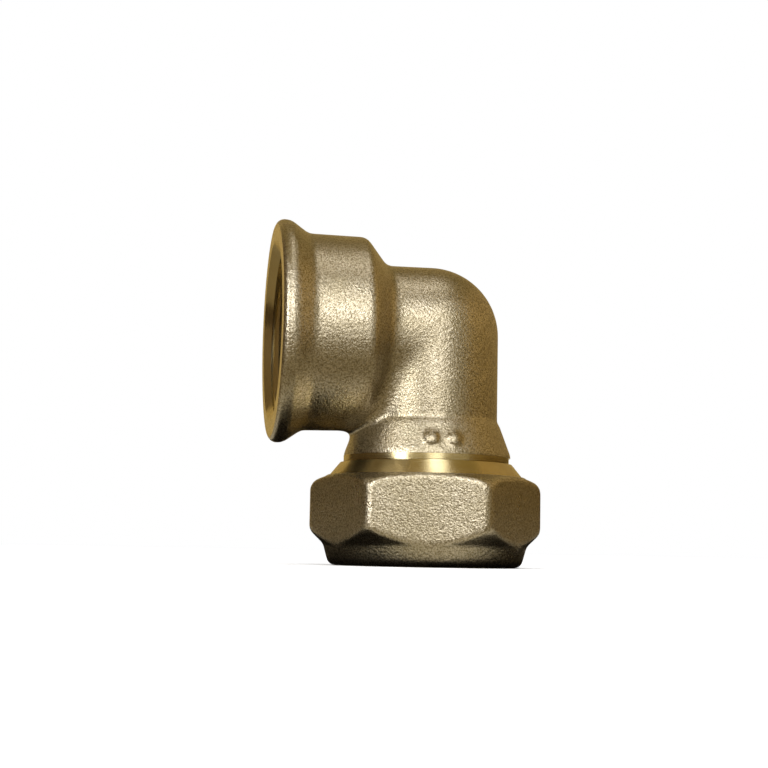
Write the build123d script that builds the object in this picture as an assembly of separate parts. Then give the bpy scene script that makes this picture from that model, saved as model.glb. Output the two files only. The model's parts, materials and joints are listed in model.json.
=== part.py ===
from build123d import *

import os
from math import cos, radians, sin, tan

# A 22 mm compression by G 3/4 female elbow: a forged brass body, a hexagon nut and an olive.
# Millimetres. The origin is the centre of the nut's flat end face, on the tube's axis.
# +Z runs up that axis and the female socket faces -X. The nut is hand tight on the olive.
# The socket's thread is cut outwards from its mean diameter. The compression thread is drawn as plain
# cylinders at its mean diameter.

# Tube, olive and compression thread
TUBE_DIAMETER = 22.0
TUBE_PLAY = 0.10  # radial, tube in the body and in the olive
TUBE_HOLE_PLAY = 0.18  # radial, tube in the nut
OLIVE_WALL = 0.85
OLIVE_LIP = 0.30  # wall left at the olive's ends
OLIVE_LENGTH = 7.0
OLIVE_ROUND = 0.5
OLIVE_PLAY = 0.1085  # radial, olive to the crests of the nut's thread
SEAT_GAP = 0.08  # radial, olive to each of its two seats
SEAT_ANGLE = 30.0  # seat cones and the olive's ends, from the axis
THREAD_PITCH = 25.4 / 14
THREAD_DEPTH_RATIO = 0.640327  # depth of a Whitworth thread for each unit of pitch
THREAD_FLANK = 27.5  # half the angle between the flanks
THREAD_OVERCUT = 0.05  # how far the thread's cutter reaches into the bore
THREAD_PLAY = 0.08  # radial, between the male and the female mean cylinders
THREAD_MOUTH = 0.65  # countersink of the nut's thread, beyond its mean radius
THREAD_END = 0.4  # chamfer on the end of the male thread

# Nut
NUT_HEIGHT = 16.05
NUT_WALL = 2.78  # thread's outer diameter to the flats
NUT_CORNER_ROUND = 2.0
NUT_SIDE_PLAY = 0.02  # rounded corners to the round outline that shapes the hexagon's ends
NUT_FLOOR = 2.2  # length of the tube hole below the seat
NUT_RIM = 0.2  # flat on top, outside the countersink
NUT_CONE_WIDTH = 1.6  # turned cone, outside the rim
NUT_CONE_HEIGHT = 1.95
NUT_TOP_SLOPE = 22.0  # forged top of the hexagon, below the horizontal
NUT_TOP_ROUND = 2.0
NUT_COLLAR_HEIGHT = 3.3
NUT_COLLAR_STEP = 0.03  # flats to the top of the collar
NUT_COLLAR_TAPER = 15.0  # from the axis
NUT_COLLAR_ROUND = 1.3
NUT_BASE_SLOPE = 46.0  # forged underside of the hexagon, from the axis
NUT_BASE_ROUND = 2.0
ROUND_LIMIT = 0.97  # most of a slope that a rounding may take up
NUT_TURN = -9.2  # how far the front flat is turned from -Y, about +Z

# Body, along the tube's axis
SHOULDER_GAP = 0.2  # nut's top to the turned collar
COLLAR_STEP = 0.45  # male thread's mean radius to the collar
COLLAR_HEIGHT = 0.85
SEAT_LIP = 0.85  # wall left at the open end, beside the olive's seat
TUBE_DEPTH = 10.2  # open end to the tube stop
TUBE_STOP = 2.0  # width of the stop
FORGING_SHIFT = 0.15  # the forging sits this far off the turned axis, along +X
FOOT_PROUD = 0.1  # forged foot outside the collar
FOOT_HEIGHT = 1.2
TAPER_HEIGHT = 4.8
LEG_WALL = 2.0
LEG_STEP = 0.35  # little step where the taper meets the leg
CREASE_SHARE = 0.5  # fillet of the forged inside corners, for each unit of the shoulder's height
PIP_DIAMETER = 2.4
PIP_HEIGHT = 0.5
PIP_RISE = 2.7  # collar to the pips
PIP_SPREAD = 16.5  # angle between the two pips

# Body, along the socket's axis
PORT_THREAD_MAJOR = 26.441
PORT_THREAD_DEPTH = 13.8
PORT_MOUTH = 1.6  # countersink of the socket's thread, beyond its mean radius
PORT_STEP = 2.4  # cone from the thread to the waterway
SOCKET_WALL = 2.24  # outside the port's thread
SOCKET_DRAFT = 0.15  # radius lost along the socket
SOCKET_LIFT = 4.58  # collar to the underside of the socket
SHOULDER_INSET = 0.2  # start of the shoulder, inside the leg's side
SHOULDER_SLOPE = 51.3  # from the socket's axis
SHOULDER_ROUND = 1.6
BACK_WALL = 0.2  # end of the thread to the start of the shoulder
BEAD_PROUD = 2.02
BEAD_FACE = 1.35  # foot of the bead's nose, outside the socket's radius
BEAD_NOSE = 0.5
BEAD_CROWN = 1.5
BEAD_FLANK = 2.9
BEAD_FACE_ROUND = 0.5
BEAD_ROUND = 1.1
BEAD_BACK_ROUND = 2.4
BEAD_ROOT_ROUND = 2.0

NEAR = 0.01  # an edge within this of a place is found there

# Radii that follow
tube_r = TUBE_DIAMETER / 2
bore_r = tube_r + TUBE_PLAY
olive_r = bore_r + OLIVE_WALL
olive_end_r = bore_r + OLIVE_LIP
hole_r = tube_r + TUBE_HOLE_PLAY
waterway_r = tube_r - TUBE_STOP
thread_depth = THREAD_DEPTH_RATIO * THREAD_PITCH
thread_major_r = olive_r + OLIVE_PLAY + thread_depth
thread_mean_r = thread_major_r - thread_depth / 2
male_r = thread_mean_r - THREAD_PLAY / 2
female_r = thread_mean_r + THREAD_PLAY / 2
port_major_r = PORT_THREAD_MAJOR / 2
port_r = port_major_r - (thread_depth - THREAD_PLAY) / 2
seat_lip_r = male_r - SEAT_LIP
collar_r = male_r + COLLAR_STEP
foot_r = collar_r + FOOT_PROUD
leg_r = waterway_r + LEG_WALL
socket_r = port_major_r + SOCKET_WALL
bead_r = socket_r + BEAD_PROUD
flat_r = thread_major_r + NUT_WALL
corner_r = flat_r / cos(radians(30)) - NUT_CORNER_ROUND * (1 / cos(radians(30)) - 1)
side_r = corner_r + NUT_SIDE_PLAY
rim_r = female_r + THREAD_MOUTH + NUT_RIM

# Heights and reaches that follow: the olive rests in the nut and the body rests on the olive
seat_slope = tan(radians(SEAT_ANGLE))
olive_z = NUT_FLOOR + (olive_end_r + SEAT_GAP - hole_r) / seat_slope
open_end_z = olive_z + OLIVE_LENGTH - (seat_lip_r - olive_end_r - SEAT_GAP) / seat_slope
stop_z = open_end_z + TUBE_DEPTH
collar_z = NUT_HEIGHT + SHOULDER_GAP
taper_z = collar_z + FOOT_HEIGHT
leg_z = taper_z + TAPER_HEIGHT
axis_z = collar_z + SOCKET_LIFT + socket_r
shoulder_x = SHOULDER_INSET - leg_r
shoulder_height = socket_r - SOCKET_DRAFT - leg_r
run_x = shoulder_x + shoulder_height / tan(radians(SHOULDER_SLOPE))
thread_end_x = shoulder_x - BACK_WALL
mouth_x = thread_end_x - PORT_THREAD_DEPTH
socket_axis = Axis((0, 0, axis_z), (-1, 0, 0))


def turned(points, rounds, axis):
    """Revolves an outline of (across, along) points in the XZ plane; rounds maps a corner to its radius."""
    radii = [rounds.get(i, 0) for i in range(len(points))]
    outline = FilletPolyline(*points, radius=radii, close=True)
    return revolve(Plane.XZ * make_face(outline), axis)


def on_socket(points, rounds):
    """The same about the socket's axis, with points of (x, radius)."""
    return turned([(x, axis_z + r) for x, r in points], rounds, socket_axis)


def forged_outside():
    leg = turned([(0, taper_z), (leg_r, taper_z), (leg_r, axis_z), (0, axis_z)], {}, Axis.Z)
    foot = turned(
        [
            (0, collar_z),
            (foot_r, collar_z),
            (foot_r, taper_z),
            (leg_r + LEG_STEP, leg_z),
            (leg_r - LEG_STEP, leg_z + 2 * LEG_STEP),
            (0, leg_z + 2 * LEG_STEP),
        ],
        {},
        Axis.Z,
    )
    bead_x = mouth_x + BEAD_NOSE
    crown_x = bead_x + BEAD_CROWN
    run = on_socket(
        [
            (mouth_x, 0),
            (mouth_x, socket_r + BEAD_FACE),
            (bead_x, bead_r),
            (crown_x, bead_r),
            (crown_x + BEAD_FLANK, socket_r),
            (shoulder_x, socket_r - SOCKET_DRAFT),
            (run_x, leg_r),
            (FORGING_SHIFT, leg_r),
            (FORGING_SHIFT, 0),
        ],
        {1: BEAD_FACE_ROUND, 2: BEAD_ROUND, 3: BEAD_BACK_ROUND, 4: BEAD_ROOT_ROUND, 5: SHOULDER_ROUND},
    )
    shift = Pos(FORGING_SHIFT, 0, 0)
    ball = Pos(0, 0, axis_z) * Sphere(leg_r)
    forging = shift * leg + run + shift * ball
    creases = [edge for edge in forging.edges() if is_crease(edge)]
    return fillet(creases, CREASE_SHARE * shoulder_height) + shift * foot


def is_crease(edge):
    """True for the inside corners where the leg, the run and the socket's shoulder meet."""
    middle = edge.center()
    round_run = edge.geom_type == GeomType.CIRCLE and abs(middle.X - run_x) < NEAR
    return round_run or edge.geom_type in (GeomType.BSPLINE, GeomType.ELLIPSE)


def pips():
    """Two domes on the front of the foot's taper."""
    slope = (foot_r - leg_r - LEG_STEP) / TAPER_HEIGHT
    z = collar_z + PIP_RISE
    surface_r = foot_r - (z - taper_z) * slope
    ball_r = (PIP_HEIGHT**2 + (PIP_DIAMETER / 2) ** 2) / (2 * PIP_HEIGHT)
    centre_r = surface_r + PIP_HEIGHT - ball_r
    for side in (-0.5, 0.5):
        angle = radians(side * PIP_SPREAD)
        yield Pos(FORGING_SHIFT + centre_r * sin(angle), -centre_r * cos(angle), z) * Sphere(ball_r)


def make_body():
    body = forged_outside()
    for pip in pips():
        body += pip
    around = foot_r + FORGING_SHIFT + COLLAR_STEP
    body -= turned(
        [
            (collar_r, collar_z),
            (around, collar_z),
            (around, collar_z + COLLAR_HEIGHT),
            (collar_r, collar_z + COLLAR_HEIGHT),
        ],
        {},
        Axis.Z,
    )
    body += turned(
        [
            (0, open_end_z),
            (male_r - THREAD_END, open_end_z),
            (male_r, open_end_z + THREAD_END),
            (male_r, collar_z + COLLAR_HEIGHT / 2),
            (0, collar_z + COLLAR_HEIGHT / 2),
        ],
        {},
        Axis.Z,
    )
    return body - bores() - port_groove()


def bores():
    """Everything bored out of the body: olive's seat, tube socket, waterway and female thread."""
    seat_depth = (seat_lip_r - bore_r) / seat_slope
    riser = turned(
        [
            (0, open_end_z),
            (seat_lip_r, open_end_z),
            (bore_r, open_end_z + seat_depth),
            (bore_r, stop_z),
            (waterway_r, stop_z),
            (waterway_r, axis_z),
            (0, axis_z),
        ],
        {},
        Axis.Z,
    )
    port = on_socket(
        [
            (mouth_x, 0),
            (mouth_x, port_r + PORT_MOUTH),
            (mouth_x + PORT_MOUTH, port_r),
            (thread_end_x, port_r),
            (thread_end_x + PORT_STEP, waterway_r),
            (0, waterway_r),
            (0, 0),
        ],
        {},
    )
    return riser + port + Pos(0, 0, axis_z) * Sphere(waterway_r)


def port_groove():
    """The groove of the socket's thread, wound from just outside the mouth to a turn short of the back."""
    flank = tan(radians(THREAD_FLANK))
    root_half = (THREAD_PITCH / 2 - thread_depth * flank) / 2
    open_r = port_r - THREAD_OVERCUT
    open_half = root_half + (port_major_r - open_r) * flank
    outline = Polyline(
        (open_r, -open_half),
        (port_major_r, -root_half),
        (port_major_r, root_half),
        (open_r, open_half),
        close=True,
    )
    path = Helix(THREAD_PITCH, PORT_THREAD_DEPTH, port_r)
    groove = sweep(Plane.XZ * make_face(outline), path=path, is_frenet=True)
    return Plane((mouth_x - THREAD_PITCH, 0, axis_z), z_dir=(1, 0, 0)) * groove


def make_nut():
    collar_top_r = flat_r - NUT_COLLAR_STEP
    collar_base_r = collar_top_r - NUT_COLLAR_HEIGHT * tan(radians(NUT_COLLAR_TAPER))
    cone_r = rim_r + NUT_CONE_WIDTH
    cone_z = NUT_HEIGHT - NUT_CONE_HEIGHT
    top_z = cone_z - (side_r - cone_r) * tan(radians(NUT_TOP_SLOPE))
    base_z = NUT_COLLAR_HEIGHT + (side_r - collar_top_r) / tan(radians(NUT_BASE_SLOPE))
    top_room = (side_r - cone_r) / cos(radians(NUT_TOP_SLOPE)) / tan(radians(45 - NUT_TOP_SLOPE / 2))
    base_room = (side_r - collar_top_r) / sin(radians(NUT_BASE_SLOPE)) / tan(radians(NUT_BASE_SLOPE / 2))
    envelope = turned(
        [
            (0, 0),
            (collar_base_r, 0),
            (collar_top_r, NUT_COLLAR_HEIGHT),
            (side_r, base_z),
            (side_r, top_z),
            (cone_r, cone_z),
            (rim_r, NUT_HEIGHT),
            (0, NUT_HEIGHT),
        ],
        {
            1: NUT_COLLAR_ROUND,
            3: min(NUT_BASE_ROUND, ROUND_LIMIT * base_room),
            4: min(NUT_TOP_ROUND, ROUND_LIMIT * top_room),
        },
        Axis.Z,
    )
    hexagon = RegularPolygon(flat_r, 6, major_radius=False)
    hexagon = fillet(hexagon.vertices(), NUT_CORNER_ROUND)
    nut = envelope & Rot(0, 0, NUT_TURN) * extrude(hexagon, NUT_HEIGHT)
    seat_height = (female_r - hole_r) / seat_slope
    inside = turned(
        [
            (0, 0),
            (hole_r, 0),
            (hole_r, NUT_FLOOR),
            (female_r, NUT_FLOOR + seat_height),
            (female_r, NUT_HEIGHT - THREAD_MOUTH),
            (female_r + THREAD_MOUTH, NUT_HEIGHT),
            (0, NUT_HEIGHT),
        ],
        {},
        Axis.Z,
    )
    return nut - inside


def make_olive():
    end_height = (olive_r - olive_end_r) / seat_slope
    return turned(
        [
            (bore_r, olive_z),
            (olive_end_r, olive_z),
            (olive_r, olive_z + end_height),
            (olive_r, olive_z + OLIVE_LENGTH - end_height),
            (olive_end_r, olive_z + OLIVE_LENGTH),
            (bore_r, olive_z + OLIVE_LENGTH),
        ],
        {2: OLIVE_ROUND, 3: OLIVE_ROUND},
        Axis.Z,
    )


os.makedirs("parts", exist_ok=True)
for name, piece in (("elbow_body", make_body()), ("compression_nut", make_nut()), ("olive", make_olive())):
    export_step(piece, f"parts/{name}.step")
    print(name, "volume", round(piece.volume), "mm3")
print("socket axis", round(axis_z, 3), "mouth", round(mouth_x, 3), "open end", round(open_end_z, 3))
print("port radius", round(port_r, 3), "tube bore radius", round(bore_r, 3), "hole radius", round(hole_r, 3))
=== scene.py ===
import json
from math import hypot, pi, radians, tan

import bpy
from mathutils import Matrix, Vector

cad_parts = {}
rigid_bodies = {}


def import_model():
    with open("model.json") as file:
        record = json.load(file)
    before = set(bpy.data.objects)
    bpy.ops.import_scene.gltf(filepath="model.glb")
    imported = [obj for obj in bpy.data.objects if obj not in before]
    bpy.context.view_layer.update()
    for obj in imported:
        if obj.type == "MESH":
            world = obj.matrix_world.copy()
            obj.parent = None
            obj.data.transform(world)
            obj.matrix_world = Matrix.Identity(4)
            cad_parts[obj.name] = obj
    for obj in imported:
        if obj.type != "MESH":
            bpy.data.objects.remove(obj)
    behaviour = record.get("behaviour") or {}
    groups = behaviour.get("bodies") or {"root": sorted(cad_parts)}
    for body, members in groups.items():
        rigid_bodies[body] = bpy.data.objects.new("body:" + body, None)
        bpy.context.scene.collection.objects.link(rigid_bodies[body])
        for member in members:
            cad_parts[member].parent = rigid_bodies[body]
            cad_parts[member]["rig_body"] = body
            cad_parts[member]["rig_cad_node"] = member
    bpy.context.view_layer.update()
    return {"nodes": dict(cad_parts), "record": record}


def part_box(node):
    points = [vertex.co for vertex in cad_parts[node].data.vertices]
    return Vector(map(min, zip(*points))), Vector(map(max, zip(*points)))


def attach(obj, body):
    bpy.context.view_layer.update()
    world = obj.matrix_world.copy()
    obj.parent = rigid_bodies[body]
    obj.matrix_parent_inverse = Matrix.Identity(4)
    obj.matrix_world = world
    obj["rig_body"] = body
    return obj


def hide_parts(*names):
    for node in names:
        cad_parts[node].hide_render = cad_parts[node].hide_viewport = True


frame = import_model()
record = frame["record"]
nodes = frame["nodes"]
mounts = {mount["name"]: mount for mount in record["mounts"]}
mm = 0.001

# places and sizes that the frame gives, in metres
port = mounts["female_port"]
axisZ = port["pos_m"][2]
portR = port["dims"]["r_mm"] * mm
portHalf = port["dims"]["length_mm"] * mm / 2
portMouthX = port["pos_m"][0] - portHalf
portBackX = port["pos_m"][0] + portHalf
tubeR = mounts["tube_socket"]["dims"]["r_mm"] * mm
tubeHoleR = mounts["tube_entry"]["dims"]["r_mm"] * mm
tubeHoleTopZ = mounts["tube_entry"]["dims"]["length_mm"] * mm
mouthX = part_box("elbow_body")[0].x
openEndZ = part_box("elbow_body")[0].z
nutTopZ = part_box("compression_nut")[1].z
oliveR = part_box("olive")[1].x
pitch = record["behaviour"]["couplings"][0]["ratio"] * 2 * pi
print("frame loaded, thread pitch", round(pitch / mm, 3), "mm")


# Tools used by every piece

toolSettings = {
    "merge": 0.001 * mm,  # points nearer than this are one
    "sliver": 0.02 * mm,  # smaller edges and faces go, as where the crease's round runs out
    "over": 1.0 * mm,  # how far a tool runs past the metal
    "barSides": 128,
    "ballSides": 64,
    "ballRings": 32,
}
over = toolSettings["over"]


def onlySelect(piece):
    bpy.ops.object.select_all(action="DESELECT")
    piece.select_set(True)
    bpy.context.view_layer.objects.active = piece


# A merged copy of a CAD node, free of its body
def cadCopy(nodeName, name):
    onlySelect(nodes[nodeName])
    bpy.ops.object.duplicate()
    piece = bpy.context.object
    piece.name = piece.data.name = name
    piece.parent = None
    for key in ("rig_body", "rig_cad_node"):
        del piece[key]
    bpy.ops.mesh.customdata_custom_splitnormals_clear()
    bpy.ops.object.mode_set(mode="EDIT")
    bpy.ops.mesh.select_all(action="SELECT")
    bpy.ops.mesh.remove_doubles(threshold=toolSettings["merge"])
    bpy.ops.mesh.dissolve_degenerate(threshold=toolSettings["sliver"])
    bpy.ops.object.mode_set(mode="OBJECT")
    return piece


# Joins, cuts or keeps the overlap, and uses the tool up
def combine(piece, tool, operation):
    onlySelect(piece)
    bpy.ops.object.modifier_add(type="BOOLEAN")
    boolean = piece.modifiers[-1]
    boolean.operation = operation
    boolean.object = tool
    boolean.solver = "MANIFOLD"
    bpy.ops.object.modifier_apply(modifier=boolean.name)
    bpy.data.meshes.remove(tool.data)


# A round bar from one place to another, straight or tapered
def bar(start, end, startR, endR=None):
    start, end = Vector(start), Vector(end)
    bpy.ops.object.select_all(action="DESELECT")
    bpy.ops.mesh.primitive_cone_add(
        vertices=toolSettings["barSides"],
        radius1=startR,
        radius2=startR if endR is None else endR,
        depth=(end - start).length,
        location=(start + end) / 2,
        rotation=(end - start).to_track_quat("Z", "Y").to_euler(),
    )
    bpy.ops.object.transform_apply(location=True, rotation=True, scale=True)
    return bpy.context.object


def ball(centre, radius):
    bpy.ops.object.select_all(action="DESELECT")
    bpy.ops.mesh.primitive_uv_sphere_add(
        segments=toolSettings["ballSides"],
        ring_count=toolSettings["ballRings"],
        radius=radius,
        location=centre,
    )
    bpy.ops.object.transform_apply(location=True, rotation=True, scale=True)
    return bpy.context.object


def block(low, high):
    low, high = Vector(low), Vector(high)
    bpy.ops.object.select_all(action="DESELECT")
    bpy.ops.mesh.primitive_cube_add(size=1, location=(low + high) / 2)
    bpy.context.object.scale = high - low
    bpy.ops.object.transform_apply(location=True, rotation=True, scale=True)
    return bpy.context.object


softSettings = {
    "grid": 0.32 * mm,  # size of the faces of a forged skin
    "push": 0.5,  # how far a round moves a point towards its neighbours
    "edgeRounds": 6,
    "creaseRounds": 90,
}


# Gives a blank the even skin and soft edges of a forging; share(place) says where it is softened further
def soften(piece, share=None):
    s = softSettings
    onlySelect(piece)
    bpy.ops.object.modifier_add(type="REMESH")
    remesh = piece.modifiers[-1]
    remesh.mode = "VOXEL"
    remesh.voxel_size = s["grid"]
    bpy.ops.object.modifier_apply(modifier=remesh.name)
    rounds = [("", s["edgeRounds"])]
    if share:
        group = piece.vertex_groups.new(name="crease")
        for vertex in piece.data.vertices:
            group.add([vertex.index], share(vertex.co), "REPLACE")
        rounds.append((group.name, s["creaseRounds"]))
    for groupName, count in rounds:
        bpy.ops.object.modifier_add(type="SMOOTH")
        smooth = piece.modifiers[-1]
        smooth.factor = s["push"]
        smooth.iterations = count
        smooth.vertex_group = groupName
        bpy.ops.object.modifier_apply(modifier=smooth.name)
    piece.vertex_groups.clear()


threadShape = {
    "depthShare": 0.640327,  # depth of a pipe thread for each unit of pitch
    "flankAngle": 27.5,
    "play": 0.08 * mm,  # radial, between the mean cylinders of a pair
    "crestPlay": 0.1085 * mm,  # olive to the crests of the nut's thread
    "ledge": 0.03 * mm,  # keeps an added face clear of the CAD face beside it
    "bite": 0.4 * mm,  # how far an added ring goes into the metal
    "steps": 120,  # around one turn
}
ledge = threadShape["ledge"]
bite = threadShape["bite"]
depth = threadShape["depthShare"] * pitch
flankRun = depth * tan(radians(threadShape["flankAngle"]))
crestFlat = pitch / 2 - flankRun
nutMajorR = oliveR + threadShape["crestPlay"] + depth + threadShape["play"] / 2
nutMinorR = nutMajorR - depth
maleMajorR = nutMajorR - threadShape["play"]
maleMinorR = maleMajorR - depth
portMajorR = portR + depth / 2
portMinorR = portR - depth / 2


# Four corners of a section, each (across, along), wound round Z: a ring, or a helix where rise isn't 0
def wound(name, corners, rise=0.0, turns=1):
    bpy.ops.object.select_all(action="DESELECT")
    bpy.ops.mesh.primitive_plane_add(size=1)
    piece = bpy.context.object
    piece.name = piece.data.name = name
    lowIn, lowOut, highOut, highIn = corners
    for vertex, (across, along) in zip(piece.data.vertices, (lowIn, lowOut, highIn, highOut)):
        vertex.co = (across, 0, along)
    bpy.ops.object.modifier_add(type="SCREW")
    screw = piece.modifiers[-1]
    screw.angle = 2 * pi
    screw.screw_offset = rise
    screw.iterations = turns
    screw.steps = screw.render_steps = threadShape["steps"]
    screw.use_merge_vertices = rise == 0
    screw.merge_threshold = toolSettings["merge"]
    bpy.ops.object.modifier_apply(modifier=screw.name)
    bpy.ops.object.mode_set(mode="EDIT")
    bpy.ops.mesh.select_all(action="SELECT")
    bpy.ops.mesh.remove_doubles(threshold=toolSettings["merge"])
    bpy.ops.mesh.select_all(action="SELECT")
    bpy.ops.mesh.fill_holes(sides=0)  # the ends of a helix
    bpy.ops.mesh.select_all(action="SELECT")
    bpy.ops.mesh.normals_make_consistent(inside=False)
    bpy.ops.object.mode_set(mode="OBJECT")
    return piece


# The cutter for a thread, narrow at its root and wide where it opens
def groove(name, rootR, openR, startZ, endZ):
    widen = abs(openR - rootR) / depth * flankRun
    half = crestFlat / 2
    corners = [(rootR, -half), (openR, -half - widen), (openR, half + widen), (rootR, half)]
    turns = int((endZ - startZ) / pitch) + 1
    corners = [(across, along + startZ) for across, along in corners]
    return wound(name, corners, rise=pitch, turns=turns)


# Lays a tool wound round Z along the socket, where -X comes from -Z
def toSocketAxis(tool):
    onlySelect(tool)
    tool.rotation_euler = (0, pi / 2, 0)
    tool.location = (0, 0, axisZ)
    bpy.ops.object.transform_apply(location=True, rotation=True, scale=True)


def finishMesh(piece, sharpAngle):
    onlySelect(piece)
    bpy.ops.object.shade_smooth_by_angle(angle=radians(sharpAngle))


# Elbow: forged as a solid blank with soft edges, then bored and turned as the CAD solid is

elbowSettings = {
    "shift": 0.15 * mm,  # forging off the turned axis, as in the solid
    "legR": 11.0 * mm,
    "legStepR": 11.35 * mm,
    "legZ": 22.25 * mm,
    "footR": 13.15 * mm,
    "taperZ": 17.45 * mm,
    "runX": -7.35 * mm,
    "shoulderX": -10.8 * mm,
    "shoulderR": 15.3 * mm,
    "creaseReach": 4.5 * mm,  # how far from an inside corner the forging is softened
    # bars that fill the bores: the socket, its cone, the run, the bend, the leg and the tube's end
    "socketEndX": -12.0 * mm,
    "socketFillR": 14.8 * mm,
    "coneStartX": -12.6 * mm,
    "coneEndX": -8.0 * mm,
    "coneStartR": 14.3 * mm,
    "coneEndR": 10.5 * mm,
    "runStartX": -9.0 * mm,
    "runFillR": 9.9 * mm,
    "bendFillR": 9.95 * mm,
    "legStartZ": 18.0 * mm,
    "legFillR": 9.8 * mm,
    "tubeDrop": 0.2 * mm,  # below the collar's top
    "tubeEndZ": 20.2 * mm,
    "tubeFillR": 11.7 * mm,
    # stock that the lathe takes off again
    "mouthStock": 1.0 * mm,
    "mouthStockR": 16.2 * mm,
    "collarStock": 1.5 * mm,
    "reach": 60.0 * mm,  # how far the blocks that trim the blank go
    "collarTop": 17.1 * mm,  # turned below this
    "collarR": 13.1 * mm,  # just outside the turned collar
    "lap": 0.03 * mm,  # overlap of the turned end and the forging
    "threadTop": 14.6 * mm,  # where the male thread begins to run out below the collar
    "socketLead": 1.5,  # turns of the socket's groove before the mouth
    "pipZ": 18.95 * mm,  # two forging dots on the front of the foot
    "pipR": 1.2 * mm,
    "pipHeight": 0.5 * mm,
    "pipAngle": 8.25,  # either side of the front
    "sharpAngle": 28,
}


# 1 in the inside corner of the leg and the run, falling to 0 away from it
def creaseShare(place):
    s = elbowSettings
    legR = runR = s["legR"]
    if place.z < s["legZ"]:
        down = (s["legZ"] - place.z) / (s["legZ"] - s["taperZ"])
        legR = s["legStepR"] + down * (s["footR"] - s["legStepR"])
    if place.x < s["runX"]:
        along = min((s["runX"] - place.x) / (s["runX"] - s["shoulderX"]), 1)
        runR = s["legR"] + along * (s["shoulderR"] - s["legR"])
    offLeg = hypot(max(hypot(place.x - s["shift"], place.y) - legR, 0), max(place.z - axisZ, 0))
    offRun = hypot(max(hypot(place.y, place.z - axisZ) - runR, 0), max(place.x, 0))
    return max(1 - max(offLeg, offRun) / s["creaseReach"], 0)


# Bars a little wider than the bores: they fill the blank and, less the solid, are its bores
def boreBars():
    s = elbowSettings
    bars = bar((mouthX - over, 0, axisZ), (s["socketEndX"], 0, axisZ), s["socketFillR"])
    for start, end, startR, endR in (
        ((s["coneStartX"], 0, axisZ), (s["coneEndX"], 0, axisZ), s["coneStartR"], s["coneEndR"]),
        ((s["runStartX"], 0, axisZ), (0, 0, axisZ), s["runFillR"], s["runFillR"]),
        ((0, 0, s["legStartZ"]), (0, 0, axisZ), s["legFillR"], s["legFillR"]),
        ((0, 0, s["collarTop"] - s["tubeDrop"]), (0, 0, s["tubeEndZ"]), s["tubeFillR"], s["tubeFillR"]),
    ):
        combine(bars, bar(start, end, startR, endR), "UNION")
    combine(bars, ball((0, 0, axisZ), s["bendFillR"]), "UNION")
    return bars


# The pips again at their full height, after the softening
def addPips(elbow):
    s = elbowSettings
    slope = (s["footR"] - s["legStepR"]) / (s["legZ"] - s["taperZ"])
    surfaceR = s["footR"] - (s["pipZ"] - s["taperZ"]) * slope
    ballR = (s["pipHeight"] ** 2 + s["pipR"] ** 2) / (2 * s["pipHeight"])
    for angle in (-s["pipAngle"], s["pipAngle"]):
        out = Matrix.Rotation(radians(angle), 3, "Z") @ Vector((0, ballR - surfaceR - s["pipHeight"], 0))
        combine(elbow, ball(out + Vector((s["shift"], 0, s["pipZ"])), ballR), "UNION")


# The male thread: a ring up to its crests, then the groove
def threadSpigot(elbow):
    top = elbowSettings["threadTop"]
    lowR = maleMinorR + bite / 2
    meanR = (maleMajorR + maleMinorR) / 2
    endChamfer = openEndZ + bite  # the chamfer on the spigot's end, at the mean radius
    ring = wound(
        "spigotRing",
        [
            (lowR, endChamfer + ledge + lowR - meanR),
            (maleMajorR, endChamfer + ledge + maleMajorR - meanR),
            (maleMajorR, top),
            (lowR, top + maleMajorR - lowR),
        ],
    )
    combine(elbow, ring, "UNION")
    cut = groove("spigotGroove", maleMinorR, maleMajorR + ledge, openEndZ - pitch, top)
    combine(elbow, cut, "DIFFERENCE")


# The socket's thread with its whole crests, in step with the groove in the solid
def threadSocket(elbow):
    outR = portMajorR + bite / 2
    sleeve = wound(
        "socketRing",
        [
            (portMinorR, portMouthX + ledge + portR - portMinorR),
            (outR, portMouthX + ledge + portR - outR),
            (outR, portBackX),
            (portMinorR, portBackX + portR - portMinorR),
        ],
    )
    toSocketAxis(sleeve)
    combine(elbow, sleeve, "UNION")
    start = mouthX - elbowSettings["socketLead"] * pitch
    cut = groove("socketGroove", portMajorR, portMinorR - ledge, start, portBackX - pitch)
    toSocketAxis(cut)
    combine(elbow, cut, "DIFFERENCE")


def makeElbow():
    s = elbowSettings
    elbow = cadCopy("elbow_body", "elbowForging")
    combine(elbow, boreBars(), "UNION")
    mouthStart = (mouthX - s["mouthStock"], 0, axisZ)
    mouthEnd = (mouthX + s["mouthStock"], 0, axisZ)
    combine(elbow, bar(mouthStart, mouthEnd, s["mouthStockR"]), "UNION")
    stockBase = (s["shift"], 0, s["collarTop"] - s["collarStock"])
    combine(elbow, bar(stockBase, (s["shift"], 0, s["taperZ"]), s["footR"]), "UNION")
    soften(elbow, creaseShare)
    addPips(elbow)
    reach = s["reach"]
    combine(elbow, block((-reach, -reach, -reach), (mouthX, reach, reach)), "DIFFERENCE")
    combine(elbow, block((-reach, -reach, -reach), (reach, reach, s["collarTop"])), "DIFFERENCE")
    bores = boreBars()
    combine(bores, cadCopy("elbow_body", "boredSolid"), "DIFFERENCE")
    combine(elbow, bores, "DIFFERENCE")
    spigot = cadCopy("elbow_body", "turnedSpigot")
    turnedEnd = bar((0, 0, openEndZ - over), (0, 0, s["collarTop"] + s["lap"]), s["collarR"])
    combine(spigot, turnedEnd, "INTERSECT")
    combine(elbow, spigot, "UNION")
    threadSpigot(elbow)
    threadSocket(elbow)
    finishMesh(elbow, s["sharpAngle"])
    return elbow


# Nut: forged like the elbow, then turned on top, bored and threaded

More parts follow.
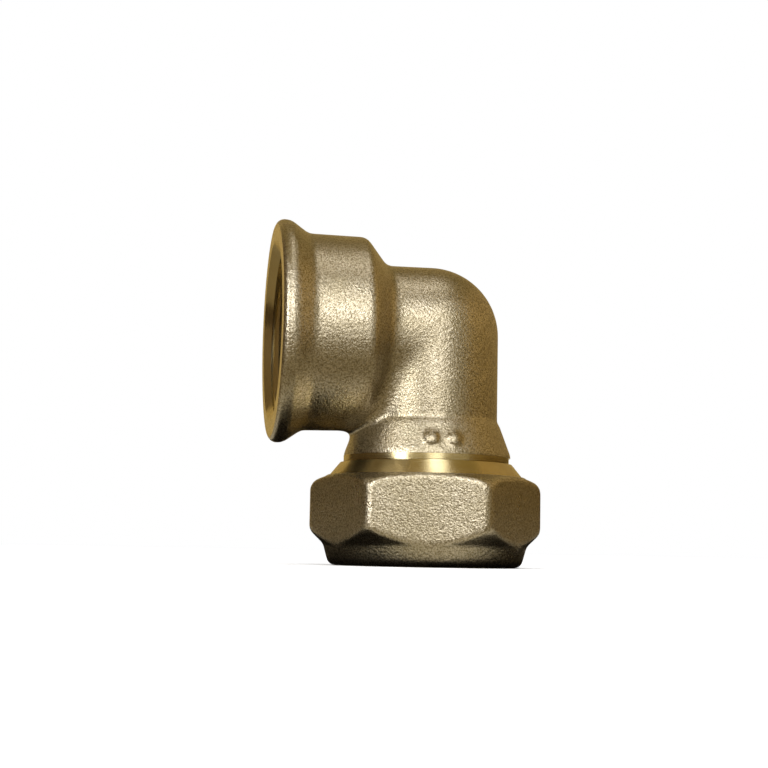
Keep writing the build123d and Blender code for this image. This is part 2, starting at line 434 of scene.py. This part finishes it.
nutSettings = {
    "boreR": 13.45 * mm,  # a bar wider than the bore
    "stockR": 15.2 * mm,  # stock for the turned cone
    "stockZ": 13.0 * mm,
    "reach": 30.0 * mm,  # how far the blocks that trim the blank go
    "coneFootR": 15.2 * mm,
    "coneFootZ": 14.015 * mm,
    "coneTopR": 13.2 * mm,  # the cone's line carried on above the nut
    "coneTopZ": 16.452 * mm,
    "coneTopDrop": 0.65 * mm,  # countersink at the top of the thread
    "seatAngle": 30,  # the olive's seat, from the tube's axis
    "leadTurns": 3,  # whole turns of the groove below the spigot's end
    "sharpAngle": 28,
}


# A sleeve down to the crests, then the groove, half a turn out of step with the spigot's
def threadNut(nut):
    s = nutSettings
    meanR = (nutMajorR + nutMinorR) / 2
    outR = meanR + bite
    top = nutTopZ - s["coneTopDrop"] - ledge
    seatSlope = tan(radians(s["seatAngle"]))
    low = tubeHoleTopZ + (nutMinorR - tubeHoleR) / seatSlope - bite / 2
    sleeve = wound(
        "nutRing",
        [
            (nutMinorR, low),
            (outR, low),
            (outR, top + outR - meanR),
            (nutMinorR, top + nutMinorR - meanR),
        ],
    )
    combine(nut, sleeve, "UNION")
    start = openEndZ - pitch / 2 - s["leadTurns"] * pitch
    cut = groove("nutGroove", nutMajorR, nutMinorR - ledge, start, nutTopZ)
    combine(nut, cut, "DIFFERENCE")


def makeNut():
    s = nutSettings
    nut = cadCopy("compression_nut", "hexNut")
    boreStart = (0, 0, -over)
    boreEnd = (0, 0, nutTopZ + over)
    combine(nut, bar(boreStart, boreEnd, s["boreR"]), "UNION")
    combine(nut, bar((0, 0, s["stockZ"]), boreEnd, s["stockR"]), "UNION")
    soften(nut)
    reach = s["reach"]
    combine(nut, block((-reach, -reach, -reach), (reach, reach, 0)), "DIFFERENCE")
    combine(nut, block((-reach, -reach, nutTopZ), (reach, reach, reach)), "DIFFERENCE")
    coneCut = wound(
        "coneCut",
        [
            (s["coneFootR"], s["coneFootZ"]),
            (reach, s["coneFootZ"]),
            (reach, nutTopZ + over),
            (s["coneTopR"], s["coneTopZ"]),
        ],
    )
    combine(nut, coneCut, "DIFFERENCE")
    bore = bar(boreStart, boreEnd, s["boreR"])
    combine(bore, cadCopy("compression_nut", "boredSolid"), "DIFFERENCE")
    combine(nut, bore, "DIFFERENCE")
    threadNut(nut)
    finishMesh(nut, s["sharpAngle"])
    return nut


# Materials


# sRGB hex to linear
def colour(hexCode):
    parts = [int(hexCode[i : i + 2], 16) / 255 for i in (1, 3, 5)]
    return [p / 12.92 if p <= 0.04045 else ((p + 0.055) / 1.055) ** 2.4 for p in parts] + [1]


# A node with its settings; an input is a value or another node's output
def put(tree, kind, inputs, **settings):
    node = tree.nodes.new("ShaderNode" + kind)
    for key, value in settings.items():
        setattr(node, key, value)
    for socket, value in inputs.items():
        if isinstance(value, bpy.types.NodeSocket):
            tree.links.new(value, node.inputs[socket])
        else:
            node.inputs[socket].default_value = value
    return node


def newMaterial(name):
    material = bpy.data.materials.new(name)
    material.use_nodes = True
    tree = material.node_tree
    return material, tree, tree.nodes["Principled BSDF"]


# Hot forged brass, shot blasted: a khaki skin of tiny dents that glints in a broad soft highlight
forgedSettings = {
    "light": "#D0C7B5",
    "dark": "#BFB59D",
    "speck": "#8E846D",
    "grain": 0.25 * mm,  # marks of the shot
    "grainDetail": 2,
    "grainRough": 0.55,
    "dent": 0.46 * mm,
    "dentSoft": 0.6,
    "swell": 4.5 * mm,  # slow waves of the forging's skin
    "swellDetail": 1,
    "patch": 7.0 * mm,  # areas a little lighter or darker
    "patchDetail": 3,
    "patchRough": 0.6,
    "grainHeight": 0.065 * mm,
    "dentHeight": 0.03 * mm,
    "swellHeight": 0.03 * mm,
    "toneFrom": 0.35,  # the part of the patches over which dark turns to light
    "toneTo": 0.65,
    "pitFrom": 0.6,  # the part of the grain over which the skin turns to specks
    "pitTo": 0.36,
    "glossFrom": 0.3,  # the part of the patches over which rough turns to smooth
    "glossTo": 0.7,
    "smooth": 0.27,
    "rough": 0.35,
}


def forgedBrass(name):
    s = forgedSettings
    material, tree, shader = newMaterial(name)
    place = put(tree, "TexCoord", {}).outputs["Object"]
    grain = put(
        tree,
        "TexNoise",
        {"Vector": place, "Scale": 1 / s["grain"], "Detail": s["grainDetail"], "Roughness": s["grainRough"]},
    ).outputs["Fac"]
    dents = put(
        tree,
        "TexVoronoi",
        {"Vector": place, "Scale": 1 / s["dent"], "Smoothness": s["dentSoft"]},
        feature="SMOOTH_F1",
    ).outputs["Distance"]
    swell = put(
        tree,
        "TexNoise",
        {"Vector": place, "Scale": 1 / s["swell"], "Detail": s["swellDetail"]},
    ).outputs["Fac"]
    patch = put(
        tree,
        "TexNoise",
        {"Vector": place, "Scale": 1 / s["patch"], "Detail": s["patchDetail"], "Roughness": s["patchRough"]},
    ).outputs["Fac"]
    # the height of the skin, in metres: grain, then dents, then swell
    fine = put(tree, "Math", {0: grain, 1: s["grainHeight"]}, operation="MULTIPLY").outputs[0]
    dented = put(tree, "Math", {0: dents, 1: s["dentHeight"], 2: fine}, operation="MULTIPLY_ADD").outputs[0]
    height = put(tree, "Math", {0: swell, 1: s["swellHeight"], 2: dented}, operation="MULTIPLY_ADD")
    bump = put(tree, "Bump", {"Height": height.outputs[0], "Distance": 1, "Strength": 1})
    tone = put(tree, "MapRange", {"Value": patch, "From Min": s["toneFrom"], "From Max": s["toneTo"]})
    skin = put(
        tree,
        "Mix",
        {"Factor": tone.outputs[0], 6: colour(s["dark"]), 7: colour(s["light"])},
        data_type="RGBA",
    )
    pit = put(tree, "MapRange", {"Value": grain, "From Min": s["pitFrom"], "From Max": s["pitTo"]})
    speckled = put(
        tree,
        "Mix",
        {"Factor": pit.outputs[0], 6: skin.outputs[2], 7: colour(s["speck"])},
        data_type="RGBA",
    )
    blasted = put(
        tree,
        "MapRange",
        {
            "Value": patch,
            "From Min": s["glossFrom"],
            "From Max": s["glossTo"],
            "To Min": s["rough"],
            "To Max": s["smooth"],
        },
    )
    tree.links.new(speckled.outputs[2], shader.inputs["Base Color"])
    tree.links.new(blasted.outputs[0], shader.inputs["Roughness"])
    tree.links.new(bump.outputs["Normal"], shader.inputs["Normal"])
    shader.inputs["Metallic"].default_value = 1
    return material


# Brass turned in a lathe: bright gold with fine rings round the tool's axis
turnedSettings = {
    "light": "#D9CDA6",
    "dark": "#C2B084",
    "feed": 0.13 * mm,  # spacing of the tool marks
    "feedDetail": 2,
    "markHeight": 0.0025 * mm,
    "glossFrom": 0.3,  # the part of the marks over which polished turns to scuffed
    "glossTo": 0.7,
    "polished": 0.14,
    "scuffed": 0.26,
    "stain": 3.0 * mm,
    "stainDetail": 3,
}


# centre and turn bring the tool's axis to Z
def turnedBrass(name, centre, turn):
    s = turnedSettings
    material, tree, shader = newMaterial(name)
    place = put(tree, "TexCoord", {}).outputs["Object"]
    onAxis = put(tree, "Mapping", {"Vector": place, "Location": centre}, vector_type="POINT").outputs[0]
    turned = put(tree, "Mapping", {"Vector": onAxis, "Rotation": turn}, vector_type="POINT").outputs[0]
    parts = put(tree, "SeparateXYZ", {0: turned}).outputs
    across = put(tree, "CombineXYZ", {0: parts[0], 1: parts[1]}).outputs[0]
    radius = put(tree, "VectorMath", {0: across}, operation="LENGTH").outputs["Value"]
    onTool = put(tree, "CombineXYZ", {0: radius, 2: parts[2]}).outputs[0]
    marks = put(
        tree,
        "TexNoise",
        {"Vector": onTool, "Scale": 1 / s["feed"], "Detail": s["feedDetail"]},
    ).outputs["Fac"]
    stain = put(
        tree,
        "TexNoise",
        {"Vector": place, "Scale": 1 / s["stain"], "Detail": s["stainDetail"]},
    ).outputs["Fac"]
    height = put(tree, "Math", {0: marks, 1: s["markHeight"]}, operation="MULTIPLY").outputs[0]
    bump = put(tree, "Bump", {"Height": height, "Distance": 1, "Strength": 1})
    skin = put(
        tree,
        "Mix",
        {"Factor": stain, 6: colour(s["dark"]), 7: colour(s["light"])},
        data_type="RGBA",
    )
    worn = put(
        tree,
        "MapRange",
        {
            "Value": marks,
            "From Min": s["glossFrom"],
            "From Max": s["glossTo"],
            "To Min": s["polished"],
            "To Max": s["scuffed"],
        },
    )
    tree.links.new(skin.outputs[2], shader.inputs["Base Color"])
    tree.links.new(worn.outputs[0], shader.inputs["Roughness"])
    tree.links.new(bump.outputs["Normal"], shader.inputs["Normal"])
    shader.inputs["Metallic"].default_value = 1
    return material


forged = forgedBrass("forgedBlastedBrass")
turnedOnTube = turnedBrass("turnedBrassTubeAxis", (0, 0, 0), (0, 0, 0))
turnedOnSocket = turnedBrass("turnedBrassSocketAxis", (0, 0, -axisZ), (0, -pi / 2, 0))
print("brass finishes made")


# Which faces of the elbow and the nut were turned after forging

turnedAreas = {
    "collarTop": 17.12 * mm,  # turned ring below the foot
    "collarR": 13.06 * mm,
    "portR": 14.5 * mm,
    "shoulderX": -8.0 * mm,
    "stopStep": 1.0 * mm,  # the waterway is narrower than the tube by more than this
    "coneFoot": 13.99 * mm,  # turned cone on the nut
    "coneR": 15.25 * mm,
    "near": 0.01 * mm,
}


# 0 forged, 1 turned on the tube's axis, 2 turned on the socket's
def elbowFinish(centre, normal):
    a = turnedAreas
    r = hypot(centre.x, centre.y)
    fromPort = Vector((0, centre.y, centre.z - axisZ))
    facesTube = centre.x * normal.x + centre.y * normal.y < 0
    facesPort = fromPort.dot(normal) < 0
    inTube = centre.z < axisZ and r < tubeR + a["near"] and facesTube and centre.x > a["shoulderX"] - tubeR
    pastShoulder = centre.x < a["shoulderX"] or fromPort.length < tubeR - a["stopStep"]
    inPort = fromPort.length < a["portR"] and facesPort and pastShoulder
    onMouth = centre.x < mouthX + a["near"]
    onSpigot = centre.z < a["collarTop"] and r < a["collarR"]
    if inPort or onMouth:
        return 2
    return 1 if onSpigot or inTube else 0


# 0 forged, 1 turned
def nutFinish(centre, normal):
    a = turnedAreas
    r = hypot(centre.x, centre.y)
    onCone = centre.z > a["coneFoot"] and r < a["coneR"]
    inside = centre.x * normal.x + centre.y * normal.y < 0
    return 1 if onCone or inside or centre.z < a["near"] else 0


def dress(piece, materials, chooser):
    piece.data.materials.clear()
    for material in materials:
        piece.data.materials.append(material)
    for face in piece.data.polygons:
        face.material_index = chooser(face.center, face.normal)


elbow = makeElbow()
dress(elbow, [forged, turnedOnTube, turnedOnSocket], elbowFinish)
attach(elbow, "elbow")
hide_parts("elbow_body")
print("elbow made,", len(elbow.data.polygons), "faces")
nut = makeNut()
dress(nut, [forged, turnedOnTube], nutFinish)
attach(nut, "nut")
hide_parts("compression_nut")
print("nut made,", len(nut.data.polygons), "faces")
olive = nodes["olive"]
dress(olive, [turnedOnTube], lambda centre, normal: 0)
print("olive dressed")


# Floor, cards, lamps and camera


# Dull paint or board: no gloss, so it only gives its colour
def dullPaint(name, roughness):
    material, tree, shader = newMaterial(name)
    shader.inputs["Roughness"].default_value = roughness
    shader.inputs["Specular IOR Level"].default_value = 0
    return material, tree, shader


floorSettings = {
    "size": 6.0,
    "drop": 0.02 * mm,  # below the nut
    "paint": "#FEFEFE",
    "roughness": 0.9,
}


def makeFloor():
    s = floorSettings
    bpy.ops.object.select_all(action="DESELECT")
    bpy.ops.mesh.primitive_plane_add(size=s["size"], location=(0, 0, -s["drop"]))
    floor = bpy.context.object
    floor.name = "floor"
    material, _, shader = dullPaint("matteFloorPaint", s["roughness"])
    shader.inputs["Base Color"].default_value = colour(s["paint"])
    floor.data.materials.append(material)
    bpy.ops.object.transform_apply(location=True, rotation=True, scale=True)
    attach(floor, "nut")


boardRoughness = 1


# Keeps a board out of everything but reflections
def reflectOnly(board):
    board.visible_camera = board.visible_diffuse = board.visible_shadow = False


# Brown cards that only reflections meet: painted reflections of dim surroundings, so the metal keeps its
# dark sides
reflectionCardSettings = {
    # name: centre and size in metres, turn in degrees, paint
    # each paint is a painted reflection: the browns darken the metal's sides, top and back, the darkest low
    # strips its lower edges
    "rightCard": ((0.15, 0.06, 0.10), (0.36, 0.24), (90, 0, 90), "#957D4E"),
    "leftCard": ((-0.17, 0.08, 0.10), (0.36, 0.24), (90, 0, 90), "#685639"),
    "backCard": ((0.0, 0.22, 0.12), (0.50, 0.28), (90, 0, 0), "#957F4E"),
    "rightLowDarkReflection": ((0.13, 0.06, 0.014), (0.36, 0.036), (90, 0, 90), "#574420"),
    "leftLowDarkReflection": ((-0.15, 0.08, 0.014), (0.36, 0.036), (90, 0, 90), "#3C2E1A"),
    "topCard": ((0.0, 0.05, 0.25), (0.40, 0.41), (0, 0, 0), "#806D3E"),
    "frontCard": ((-0.1, -0.62, 0.34), (1.8, 0.72), (90, 0, 0), "#A0936E"),
}


def makeReflectionCards():
    for name, (centre, size, turn, paint) in reflectionCardSettings.items():
        bpy.ops.object.select_all(action="DESELECT")
        bpy.ops.mesh.primitive_plane_add(size=1, location=centre, rotation=[radians(a) for a in turn])
        card = bpy.context.object
        card.name = name
        card.scale = (*size, 1)
        material, _, shader = dullPaint(name + "Board", boardRoughness)
        shader.inputs["Base Color"].default_value = colour(paint)
        card.data.materials.append(material)
        reflectOnly(card)


# Painted shade seen in reflections alone: a painted shadow dark below the fitting, a painted bright floor
# just outside it, and duller farther out
paintedShadeSettings = {
    "size": 0.5,
    "lift": 0.05 * mm,
    "stretch": 0.4,  # the dark is longer along the socket than across it
    # distance from the tube's axis: paint
    "stops": [(16 * mm, "#0F0B07"), (19 * mm, "#D2CAB4"), (28 * mm, "#786A4C"), (60 * mm, "#7C6E50")],
}


def makePaintedShade():
    s = paintedShadeSettings
    bpy.ops.object.select_all(action="DESELECT")
    bpy.ops.mesh.primitive_plane_add(size=s["size"], location=(0, 0, s["lift"]))
    shadeCard = bpy.context.object
    shadeCard.name = "paintedShadeCard"
    material, tree, shader = dullPaint("paintedShadeBoard", boardRoughness)
    place = put(tree, "TexCoord", {}).outputs["Object"]
    # behind the tube's axis the bands run straight back
    front = put(tree, "VectorMath", {0: place, 1: (1, 0, 0)}, operation="MINIMUM").outputs[0]
    squeezed = put(tree, "VectorMath", {0: front, 1: (s["stretch"], 1, 0)}, operation="MULTIPLY").outputs[0]
    away = put(tree, "VectorMath", {0: squeezed}, operation="LENGTH").outputs["Value"]
    reach = s["stops"][-1][0]
    share = put(tree, "MapRange", {"Value": away, "From Min": 0, "From Max": reach})
    # the ramp paints the shade: painted shadow under the fitting, painted light on the floor round it
    shade = put(tree, "ValToRGB", {0: share.outputs[0]})
    stops = shade.color_ramp.elements
    while len(stops) < len(s["stops"]):
        stops.new(0.5)  # moved to its place below
    for stop, (distance, paint) in zip(stops, s["stops"]):
        stop.position = distance / reach
        stop.color = colour(paint)
    tree.links.new(shade.outputs[0], shader.inputs["Base Color"])
    shadeCard.data.materials.append(material)
    reflectOnly(shadeCard)
    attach(shadeCard, "nut")


lampSettings = {
    # name: degrees round and up from the front, then metres away, wide and high, and radiance
    "left": (-46, 19, 0.5, 0.15, 0.31, 7.5),
    "front": (2, 26, 0.5, 0.20, 0.34, 3.7),
    "overhead": (-10, 80, 0.5, 0.14, 0.24, 2.0),
    # small strips, for glints on the turned cone and the ring above it
    "coneWide": (35, 79, 0.2, 0.05, 0.05, 3.0),
    "ringWide": (2, 4, 0.4, 0.13, 0.05, 2.0),
    "ringNarrow": (-41, 4, 0.4, 0.06, 0.05, 2.5),
}
lampTarget = Vector((0, 0, 0.026))


def direction(azimuth, elevation):
    turn = Matrix.Rotation(radians(azimuth), 3, "Z") @ Matrix.Rotation(radians(-elevation), 3, "X")
    return turn @ Vector((0, -1, 0))


def makeLamps():
    for name, (azimuth, elevation, distance, width, height, radiance) in lampSettings.items():
        towards = direction(azimuth, elevation)
        bpy.ops.object.light_add(type="AREA", location=lampTarget + towards * distance)
        lamp = bpy.context.object
        lamp.name = name + "Softbox"
        lamp.rotation_euler = towards.to_track_quat("Z", "Y").to_euler()
        lamp.data.shape = "RECTANGLE"
        lamp.data.size, lamp.data.size_y = width, height
        lamp.data.energy = radiance * pi * width * height


worldSettings = {"paint": "#FFFFFF", "strength": 1}


def makeWorld():
    world = bpy.data.worlds.new("studio")
    bpy.context.scene.world = world
    world.use_nodes = True
    background = world.node_tree.nodes["Background"]
    background.inputs["Color"].default_value = colour(worldSettings["paint"])
    background.inputs["Strength"].default_value = worldSettings["strength"]


cameraSettings = {
    "place": (-48.0 * mm, -243.0 * mm, 2.6 * mm),
    "yaw": 9.592,
    "pitch": 6.006,
    "roll": 1.071,
    "lens": 73.52,
    "sensor": 36,
    "nearest": 10 * mm,  # nothing nearer is drawn
}


def makeCamera():
    s = cameraSettings
    bpy.ops.object.camera_add(location=s["place"])
    camera = bpy.context.object
    yaw = Matrix.Rotation(radians(-s["yaw"]), 3, "Z")
    pitched = Matrix.Rotation(pi / 2 + radians(s["pitch"]), 3, "X")
    camera.rotation_euler = (yaw @ pitched @ Matrix.Rotation(radians(s["roll"]), 3, "Z")).to_euler()
    camera.data.lens = s["lens"]
    camera.data.sensor_width = s["sensor"]
    camera.data.clip_start = s["nearest"]
    bpy.context.scene.camera = camera


makeWorld()
makeFloor()
makeReflectionCards()
makePaintedShade()
makeLamps()
makeCamera()
bpy.context.scene.view_settings.view_transform = "Standard"
print("floor, cards, lamps and camera placed")
